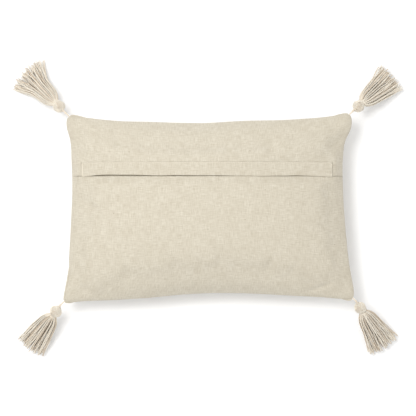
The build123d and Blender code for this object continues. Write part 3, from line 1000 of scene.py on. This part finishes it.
# outlines from the slider's centre: along the zip, and out to one side
SHIELD = ((-0.0050, 0.0026), (-0.0040, 0.0042), (-0.0024, 0.0046), (0.0, 0.0043), (0.0024, 0.0038),
          (0.0044, 0.0037), (0.0050, 0.0033))
DIVIDER = ((-0.0049, 0.0), (-0.0034, -0.00034), (-0.0020, 0.0), (-0.0034, 0.00034))
FLANGE = ((-0.0036, 0.00335), (-0.0036, 0.0042), (-0.0022, 0.0045), (0.0043, 0.00365), (0.0043, 0.0033))
PULL_ARM = ((-0.0006, 0.00145), (-0.0006, 0.0029), (0.0072, 0.0029), (0.0072, 0.00145))
PULL_LEAF = ((0.0070, 0.0030), (0.0095, 0.0026), (0.0130, 0.0029), (0.0165, 0.0030), (0.0188, 0.0022),
             (0.0198, 0.0009))
# heights over the zip surface
SHIELD_RISE, UNDER_RISE = (0.00235, 0.00325), (-0.00185, -0.00095)
DIVIDER_RISE, FLANGE_RISE = (-0.00096, 0.00236), (0.0004, 0.00236)
BAIL_HALF, BAIL_FOOT, BAIL_OVER_PIN, BAIL_R = 0.0023, 0.0030, 0.0013, 0.00062
BAIL_SQUARENESS = 0.6
PULL_THICK = 0.0012
PIN_HALF, PIN_R = 0.0028, 0.0006
RIBS, RIB_START, RIB_PITCH, RIB_HALF, RIB_R = 4, 0.0100, 0.0018, 0.0018, 0.00028


def build_coils():
    """The two nylon spirals, half a pitch apart so that their heads pass each other."""
    half = arc_place(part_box("zip_coil_lower")[1][0], COIL_CROWN) - COIL_WIRE
    turns = int(2 * half / COIL_PITCH)
    t = np.linspace(0, turns, turns * COIL_STEPS)
    for name, side, offset in (("lower", -1, 0.0), ("upper", 1, 0.5)):
        phase = 2 * math.pi * (t + offset)
        y = ZIP_Y + side * (COIL_OUT + COIL_SWING_Y * np.cos(phase))
        line = zip_point(-half + COIL_PITCH * t, y, COIL_MID + COIL_SWING_RISE * np.sin(phase))
        coil = tube_piece("coil_" + name, [line], COIL_WIRE, ZIP_COIL, "cushion")
        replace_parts(coil, "zip_coil_" + name)


def beside(centre, outline, side):
    """An outline from the slider's centre, placed along the zip on one side of its middle line."""
    return [(centre + along, ZIP_Y + side * across) for along, across in outline]


def both_sides(centre, outline):
    """A closed outline made of a half and its mirror image."""
    return beside(centre, outline, -1) + beside(centre, outline, 1)[::-1]


def zip_prism(outline, low, high):
    """A solid with an outline in zip coordinates between two heights over the zip surface."""
    count = len(outline)
    x, y = np.array(outline, float).T
    points = np.concatenate([zip_point(x, y, low), zip_point(x, y, high)])
    faces = [tuple(range(count))[::-1], tuple(range(count, 2 * count))]
    faces += [(k, (k + 1) % count, count + (k + 1) % count, count + k) for k in range(count)]
    return points, faces


def metal_piece(name, solids, body, node):
    """Several prisms as one piece of metal with softened edges."""
    points, faces, base = [], [], 0
    for some_points, some_faces in solids:
        points.append(some_points)
        faces += [tuple(int(i) + base for i in face) for face in some_faces]
        base += len(some_points)
    piece = new_piece(name, np.concatenate(points), faces, ZIP_METAL, body)
    edges = piece.modifiers.new("edges", "BEVEL")
    edges.width = BEVEL
    edges.segments = 3
    edges.limit_method = "ANGLE"
    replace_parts(piece, node)


def build_slider():
    """Shield-shaped plates, side flanges, the divider at the mouth and the bail; gives the pull's pivot."""
    pivot = JOINTS["pull_flip"]["pos_m"]
    centre = math.atan2(pivot[0], pivot[2] - ZIP_AXIS_Z) * ZIP_RADIUS
    rise = math.hypot(pivot[0], pivot[2] - ZIP_AXIS_Z) - ZIP_RADIUS
    shield = both_sides(centre, SHIELD)
    solids = [zip_prism(shield, *SHIELD_RISE), zip_prism(shield, *UNDER_RISE)]
    solids.append(zip_prism(beside(centre, DIVIDER, 1), *DIVIDER_RISE))
    for side in (-1, 1):
        solids.append(zip_prism(beside(centre, FLANGE, side)[::side], *FLANGE_RISE))
    metal_piece("slider_body", solids, "zip_slider", "zip_slider")
    bend = np.linspace(0, math.pi, 17)
    arch = BAIL_FOOT + (rise + BAIL_OVER_PIN - BAIL_FOOT) * np.sin(bend) ** BAIL_SQUARENESS
    loop = zip_point(centre - BAIL_HALF * np.cos(bend), ZIP_Y, arch)
    tube_piece("slider_bail", [loop], BAIL_R, ZIP_METAL, "zip_slider", sides=10)
    return centre, rise


def build_pull(centre, rise):
    """A leaf-shaped tab hung by two arms from a pin inside the bail, with grip ribs."""
    low, high = rise - PULL_THICK / 2, rise + PULL_THICK / 2
    solids = [zip_prism(beside(centre, PULL_ARM, side)[::side], low, high) for side in (-1, 1)]
    solids.append(zip_prism(both_sides(centre, PULL_LEAF), low, high))
    metal_piece("pull_tab", solids, "zip_pull", "zip_pull")
    pin = zip_point(np.full(5, centre), np.linspace(ZIP_Y - PIN_HALF, ZIP_Y + PIN_HALF, 5), rise)
    tube_piece("pull_pin", [pin], PIN_R, ZIP_METAL, "zip_pull", sides=12)
    for k in range(RIBS):
        place = np.full(7, centre + RIB_START + RIB_PITCH * k)
        rib = zip_point(place, np.linspace(ZIP_Y - RIB_HALF, ZIP_Y + RIB_HALF, 7), high)
        tube_piece(f"pull_rib_{k + 1}", [rib], RIB_R, ZIP_METAL, "zip_pull")


# ---- tassels

SKIRT_STRANDS = 112
SKIRT_RINGS = 126
SKIRT_STATIONS = 90
SKIRT_PACKING = 0.44
SKIRT_JITTER = 0.10
# yarns lean towards the nearest clump, from this share of the reach on
SKIRT_CLUMPS, CLUMP_PULL, CLUMP_START, CLUMP_POWER = 20, 0.26, 0.25, 1.1
CLUMP_RAYS = (0.35, 1.0)
SKIRT_SAG = 0.004
SKIRT_WANDER = np.array([0.060, 0.13])
WANDER_WAVES, WANDER_STRETCH = (1.0, 2.1, 3.7), 0.8
CUT_UNEVEN, CUT_DOME = 0.030, 0.004
FLOOR_GAP, FLOOR_SPREAD, FLOOR_SOFTNESS = 0.0012, 0.0016, 0.0012
GOLDEN_ANGLE = math.pi * (3 - math.sqrt(5))
# shares of the reach, with half width and half thickness; the tassel's own end width comes after them
SKIRT_SHAPE = ((0.085, 0.0056, 0.0056), (0.14, 0.0096, 0.0092), (0.20, 0.0152, 0.0124),
               (0.29, 0.0190, 0.0136), (0.60, 0.0250, 0.0120))
SKIRT_END_THICK = 0.0080
SKIRT_LAST_SHARE, SKIRT_OVERRUN, SKIRT_OVERRUN_WIDTH = 1.12, 1.15, 1.09
SKIRT_SMOOTHING = 9
# name: (width at the end, reach from the head's centre, seed, where the head's hole faces: along, across, up)
TASSEL_LOOKS = {
    "top_left": (0.096, 0.110, 3, (0.25, -0.95, 0.20)),
    "top_right": (0.069, 0.103, 11, (0.50, -0.42, 0.76)),
    "bottom_left": (0.066, 0.103, 23, (-0.20, 0.55, 0.81)),
    "bottom_right": (0.071, 0.104, 37, (0.10, 0.05, 0.99)),
}
HEAD_YARN_R = 0.00125
HEAD_TURNS, HEAD_PACKING = 5, 0.93
HEAD_STEPS = 72
HEAD_WEAVE = 0.085
# how far the turns' lines and the core lie under the head's surface, in yarn radii
TURNS_UNDER, CORE_UNDER = 1.35, 3.0
CORE_ROWS, CORE_COLUMNS, CORE_WOBBLE = 20, 32, 0.02
NECK_WRAPS, NECK_START, NECK_PITCH, NECK_R, NECK_YARN_R = 3, 0.0108, 0.0018, 0.0059, 0.0010
CORD_R, CORD_TURN = 0.0017, 0.006
KNOT_SIZE, KNOT_YARN_R, KNOT_TURN = 0.0019, 0.00105, 0.004
ROOT_EXTRA = 0.55


def tassel_frame(name):
    """A tassel's two joint centres, its head's centre, and its directions along, level across and up."""
    yaw = np.array(JOINTS["cord_swing_" + name]["pos_m"])
    pitch = np.array(JOINTS["tassel_lift_" + name]["pos_m"])
    centre = middle("tassel_head_" + name)
    along = unit(centre - pitch)
    across = -unit(JOINTS["tassel_lift_" + name]["axis"])
    up = np.cross(along, across)
    return yaw, pitch, centre, along, across, up * np.sign(up[2])


def skirt_outline(share, end_width):
    """Half the skirt's width and half its thickness at shares of its reach, smoothed."""
    rows = SKIRT_SHAPE + (
        (1.0, end_width / 2, SKIRT_END_THICK),
        (SKIRT_OVERRUN, SKIRT_OVERRUN_WIDTH * end_width / 2, SKIRT_END_THICK),
    )
    stations, *halves = np.array(rows).T
    kernel = np.hanning(SKIRT_SMOOTHING) / np.hanning(SKIRT_SMOOTHING).sum()
    smooth = []
    for half in halves:
        spread = np.pad(np.interp(share, stations, half), SKIRT_SMOOTHING // 2, mode="edge")
        smooth.append(np.convolve(spread, kernel, mode="valid"))
    return smooth


def strand_spots(share, rng):
    """Where each yarn passes through the skirt's section, in halves of it, and how far out it starts."""
    number = np.arange(SKIRT_STRANDS)
    ray = ((number + 0.5) / SKIRT_STRANDS) ** SKIRT_PACKING
    turn = number * GOLDEN_ANGLE + rng.normal(0, SKIRT_JITTER, SKIRT_STRANDS)
    disc = np.stack([np.cos(turn), np.sin(turn)], -1) * ray[:, None]
    clump_turn = np.sort(rng.uniform(0, 2 * math.pi, SKIRT_CLUMPS))
    clump_ray = rng.uniform(*CLUMP_RAYS, SKIRT_CLUMPS)
    clumps = np.stack([np.cos(clump_turn), np.sin(clump_turn)], -1) * clump_ray[:, None]
    gap = np.linalg.norm(disc[:, None] - clumps[None], axis=-1)
    nearest = clumps[np.argmin(gap, axis=1)]
    tail = np.clip((share - CLUMP_START) / (1 - CLUMP_START), 0, 1.1)[None, :, None]
    spot = disc[:, None] + (nearest - disc)[:, None] * CLUMP_PULL * tail**CLUMP_POWER
    for wave in WANDER_WAVES:
        size = rng.normal(0, 1, (SKIRT_STRANDS, 1, 2))
        phase = wave * share[None, :, None] * WANDER_STRETCH + rng.uniform(0, 1, (SKIRT_STRANDS, 1, 2))
        swing = size * np.sin(2 * math.pi * phase)
        spot = spot + swing * np.clip(tail, 0, 1) * SKIRT_WANDER / wave
    return spot, ray


def cut_to_length(path, length):
    """Evenly spaced points along a line, from its start to a given length of it."""
    travel = np.concatenate([[0], np.cumsum(np.linalg.norm(np.diff(path, axis=0), axis=-1))])
    wanted = np.linspace(0, min(length, travel[-1]), SKIRT_RINGS)
    return np.stack([np.interp(wanted, travel, path[:, k]) for k in range(3)], -1)


def skirt_paths(name):
    """Centrelines of the skirt's yarns, from the neck to their uneven ends on the table, and their tones, which
    are lower near the core for painted shade.
    """
    _, _, centre, along, across, up = tassel_frame(name)
    end_width, reach, seed, _ = TASSEL_LOOKS[name]
    rng = np.random.default_rng(seed)
    first = SKIRT_SHAPE[0][0]
    share = np.linspace(first, SKIRT_LAST_SHARE, SKIRT_STATIONS)
    wide, thick = skirt_outline(share, end_width)
    spot, ray = strand_spots(share, rng)
    axis = centre + along * (share * reach)[:, None]
    axis[:, 2] -= SKIRT_SAG * 4 * np.clip(share, 0, 1) * (1 - np.clip(share, 0, 1))
    paths = axis[None] + across * (spot[..., :1] * wide[:, None]) + up * (spot[..., 1:] * thick[:, None])
    lowest = FLOOR_GAP + FLOOR_SPREAD * rng.random((SKIRT_STRANDS, 1))
    paths[..., 2] = lowest + np.logaddexp(0, (paths[..., 2] - lowest) / FLOOR_SOFTNESS) * FLOOR_SOFTNESS
    uneven = CUT_UNEVEN * rng.standard_normal(SKIRT_STRANDS).clip(-2, 2)
    lengths = reach * (1 - first) * (1.0 + uneven) + CUT_DOME * ray
    lines = np.array([cut_to_length(path, length) for path, length in zip(paths, lengths)])
    # tones: random, times how far out the yarn starts, so the yarns near the core take painted shade
    return lines, rng.random(SKIRT_STRANDS) * ray


def head_rings(centre, radius, faces_way):
    """A ball knot: three bands of turns woven over and under each other, one hole turned a given way."""
    corner = unit(np.array([1.0, 1.0, 1.0]))
    way = unit(faces_way)
    turn = np.cross(corner, way)
    skew = np.array([[0, -turn[2], turn[1]], [turn[2], 0, -turn[0]], [-turn[1], turn[0], 0]])
    rotation = np.eye(3) + skew + skew @ skew / (1 + float(corner @ way))
    psi = np.linspace(0, 2 * math.pi, HEAD_STEPS, endpoint=False)
    swell = (1 + HEAD_WEAVE * np.cos(2 * psi))[:, None]
    rings = []
    for k in range(3):
        a, b, c = rotation[:, k], rotation[:, (k + 1) % 3], rotation[:, (k + 2) % 3]
        ring = np.cos(psi)[:, None] * c + np.sin(psi)[:, None] * b
        for j in range(HEAD_TURNS):
            offset = (j - (HEAD_TURNS - 1) / 2) * 2.0 * HEAD_YARN_R * HEAD_PACKING
            round_radius = math.sqrt(radius**2 - offset**2)
            rings.append(centre + (a * offset + ring * round_radius) * swell)
    return np.array(rings)


def head_core(name, centre, radius, body):
    """The closed ball that the head's yarn is wound on, slightly uneven."""
    polar = np.linspace(0, math.pi, CORE_ROWS + 2)[1:-1]
    around = np.linspace(0, 2 * math.pi, CORE_COLUMNS, endpoint=False)
    down, about = np.meshgrid(polar, around, indexing="ij")
    wobble = radius * (1 + CORE_WOBBLE * np.sin(3 * down + 1) * np.cos(4 * about))
    shell = np.stack([np.sin(down) * np.cos(about), np.sin(down) * np.sin(about), np.cos(down)], -1)
    shell = shell * wobble[..., None]
    points = np.concatenate([shell.reshape(-1, 3), [[0, 0, radius], [0, 0, -radius]]]) + centre
    index = np.arange(CORE_ROWS * CORE_COLUMNS).reshape(CORE_ROWS, CORE_COLUMNS)
    index = np.concatenate([index, index[:, :1]], axis=1)
    faces = [tuple(f) for f in quads(index)]
    top, bottom = CORE_ROWS * CORE_COLUMNS, CORE_ROWS * CORE_COLUMNS + 1
    faces += [(top, index[0, k + 1], index[0, k]) for k in range(CORE_COLUMNS)]
    faces += [(bottom, index[-1, k], index[-1, k + 1]) for k in range(CORE_COLUMNS)]
    piece = new_piece(name, points, faces, YARN, body)
    # the yarn values give the core part of the painted shade that lies between the plies
    store_vectors(piece.data, "yarn", np.tile([0.5, 0.0, 0.3], (len(points), 1)))


def trefoil(centre, axis, size):
    """The line of a small overhand knot, pulled tight round an axis."""
    axis = unit(axis)
    first = unit(np.cross(axis, (0.3, 0.2, 0.9)))
    second = np.cross(axis, first)
    t = np.linspace(0, 2 * math.pi, 64, endpoint=False)[:, None]
    x = np.sin(t) + 2 * np.sin(2 * t)
    y = np.cos(t) - 2 * np.cos(2 * t)
    z = -1.3 * np.sin(3 * t)
    return centre + (first * x + second * y + axis * z) * size / 3


def build_head(name, centre, along, across, up):
    """The woven ball knot on its core, and the wraps round the neck under it."""
    body = "tassel_" + name
    low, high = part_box("tassel_head_" + name)
    head_radius = (high[2] - low[2]) / 2
    hole = TASSEL_LOOKS[name][3]
    way = along * hole[0] + across * hole[1] + up * hole[2]
    rings = head_rings(centre, head_radius - HEAD_YARN_R * TURNS_UNDER, way)
    head = yarn_piece("head_knot_" + name, rings, body, radius=HEAD_YARN_R, closed=True)
    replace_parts(head, "tassel_head_" + name)
    head_core("head_core_" + name, centre, head_radius - HEAD_YARN_R * CORE_UNDER, body)
    psi = np.linspace(0, 2 * math.pi, 56, endpoint=False)[:, None]
    level = np.cos(psi) * across + np.sin(psi) * up
    wraps = [centre + along * (NECK_START + NECK_PITCH * k) + level * NECK_R for k in range(NECK_WRAPS)]
    neck = yarn_piece("neck_wraps_" + name, wraps, body, radius=NECK_YARN_R, closed=True)
    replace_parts(neck, "tassel_neck_" + name)


def cord_piece(name, start, end, rings, body):
    """A straight length of the twisted cord."""
    return yarn_piece(name, [np.linspace(start, end, rings)], body, radius=CORD_R, turn=CORD_TURN)


def build_cord(name, yaw, pitch, centre):
    """The cord from the seam to the head: its sewn-in end, its free length, its knots and the head's loop."""
    cord = "cord_" + name
    cord_piece("head_loop_" + name, centre, pitch, 16, "tassel_" + name)
    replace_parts(cord_piece("cord_yarn_" + name, yaw, pitch, 24, cord), "tassel_cord_" + name)
    for end, place in (("corner", yaw), ("head", pitch)):
        knot = trefoil(place, pitch - yaw, KNOT_SIZE)
        yarn_piece(f"{end}_knot_{name}", [knot], cord, radius=KNOT_YARN_R, turn=KNOT_TURN, closed=True)
    inside = middle("cord_anchor_" + name)
    root = inside + (inside - yaw) * ROOT_EXTRA
    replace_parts(cord_piece("cord_root_" + name, root, yaw, 24, "cushion"), "cord_anchor_" + name)


def build_tassel(name):
    """One tassel with its skirt, head, neck and cord."""
    yaw, pitch, centre, along, across, up = tassel_frame(name)
    paths, tones = skirt_paths(name)
    skirt = yarn_piece("skirt_yarns_" + name, paths, "tassel_" + name, sides=6, tones=tones, ends=1.12)
    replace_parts(skirt, "tassel_skirt_" + name)
    build_head(name, centre, along, across, up)
    build_cord(name, yaw, pitch, centre)


# ---- CAD nodes that stay


def finish_cad_nodes():
    """Give every CAD node the look of its own material slot."""
    slots = {part["node"]: part["material_slot"] for part in frame["record"]["subparts"]}
    for name, node in frame["nodes"].items():
        node.data.materials.clear()
        node.data.materials.append(SLOT_LOOKS[slots[name]])


# ---- stage, light and camera

FLOOR_HALF, FLOOR_DROP, FLOOR_GREY = 6.0, 0.0005, 0.93
SKY_STRENGTH = 0.95
KEY_PLACE, KEY_SIZE, KEY_POWER = (-0.72, 0.55, 2.5), 0.9, 34
CAMERA_PLACE, CAMERA_LENS, CAMERA_FAR = (0.002, 0.0, 3.67), 155.0, 20.0


def build_stage():
    """A plain pale floor."""
    material, tree, shader = new_material("floor")
    feed(tree, shader, {"Base Color": (FLOOR_GREY, FLOOR_GREY, FLOOR_GREY, 1), "Roughness": 0.9})
    corners = [(x * FLOOR_HALF, y * FLOOR_HALF, 0) for x, y in ((-1, -1), (1, -1), (1, 1), (-1, 1))]
    mesh = mesh_of("floor", corners, [(0, 1, 2, 3)])
    mesh.materials.append(material)
    floor = shown("floor", mesh)
    floor.location.z = -FLOOR_DROP


def build_lights():
    """An even white sky and one soft key light from the upper left."""
    world = bpy.data.worlds.new("studio")
    bpy.context.scene.world = world
    world.use_nodes = True
    sky = world.node_tree.nodes["Background"]
    sky.inputs[0].default_value = (1, 1, 1, 1)
    sky.inputs[1].default_value = SKY_STRENGTH
    light = bpy.data.lights.new("key", "AREA")
    light.shape = "SQUARE"
    light.size = KEY_SIZE
    light.energy = KEY_POWER
    lamp = shown("key", light)
    lamp.location = KEY_PLACE
    lamp.rotation_euler = (-Vector(KEY_PLACE)).to_track_quat("-Z", "Y").to_euler()
    bpy.context.scene.view_settings.view_transform = "Standard"


def build_camera():
    """Straight down from above, as the cushion lies on its front."""
    data = bpy.data.cameras.new("camera")
    data.lens = CAMERA_LENS
    data.clip_end = CAMERA_FAR
    camera = shown("camera", data)
    camera.location = CAMERA_PLACE
    bpy.context.scene.camera = camera


# ---- build

cover_surface = build_cover()
build_insert()
build_flap()
for corner_name in CORNER_NAMES:
    build_tassel(corner_name)
build_stitching(cover_surface)
build_coils()
build_pull(*build_slider())
finish_cad_nodes()
build_camera()
build_stage()
build_lights()
